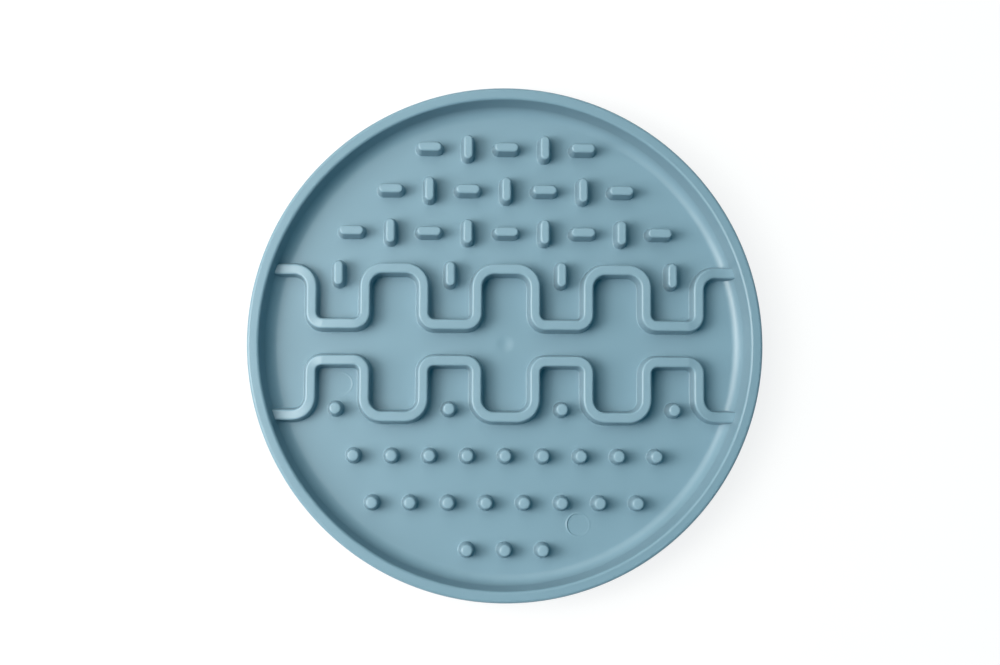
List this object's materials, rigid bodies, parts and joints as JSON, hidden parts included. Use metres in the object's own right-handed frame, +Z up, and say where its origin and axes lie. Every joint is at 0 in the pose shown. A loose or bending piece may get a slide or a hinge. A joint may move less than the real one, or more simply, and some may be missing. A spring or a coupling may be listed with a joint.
{
  "type": "lick mat",
  "caption": "Round lick mat: a shallow moulded tray with meander walls, short bars and pegs to lick round, on pressed-in soft feet.",
  "frame": {"origin": "on the supporting surface, under the middle of the tray", "axes": "+Z up out of the bowl, +Y from the middle towards the rows of bars, +X to the right when the bars are at the far side"},
  "size_m": [0.2, 0.2, 0.018],
  "materials": {
    "tray": "semi-matte moulded polypropylene, dusty blue-grey",
    "feet": "matte moulded TPE, light grey"
  },
  "bodies": {
    "root": {"tray": "tray", "foot_1": "feet", "foot_2": "feet", "foot_3": "feet", "foot_4": "feet", "foot_5": "feet", "foot_6": "feet", "foot_7": "feet", "foot_8": "feet"}
  },
  "joints": []
}
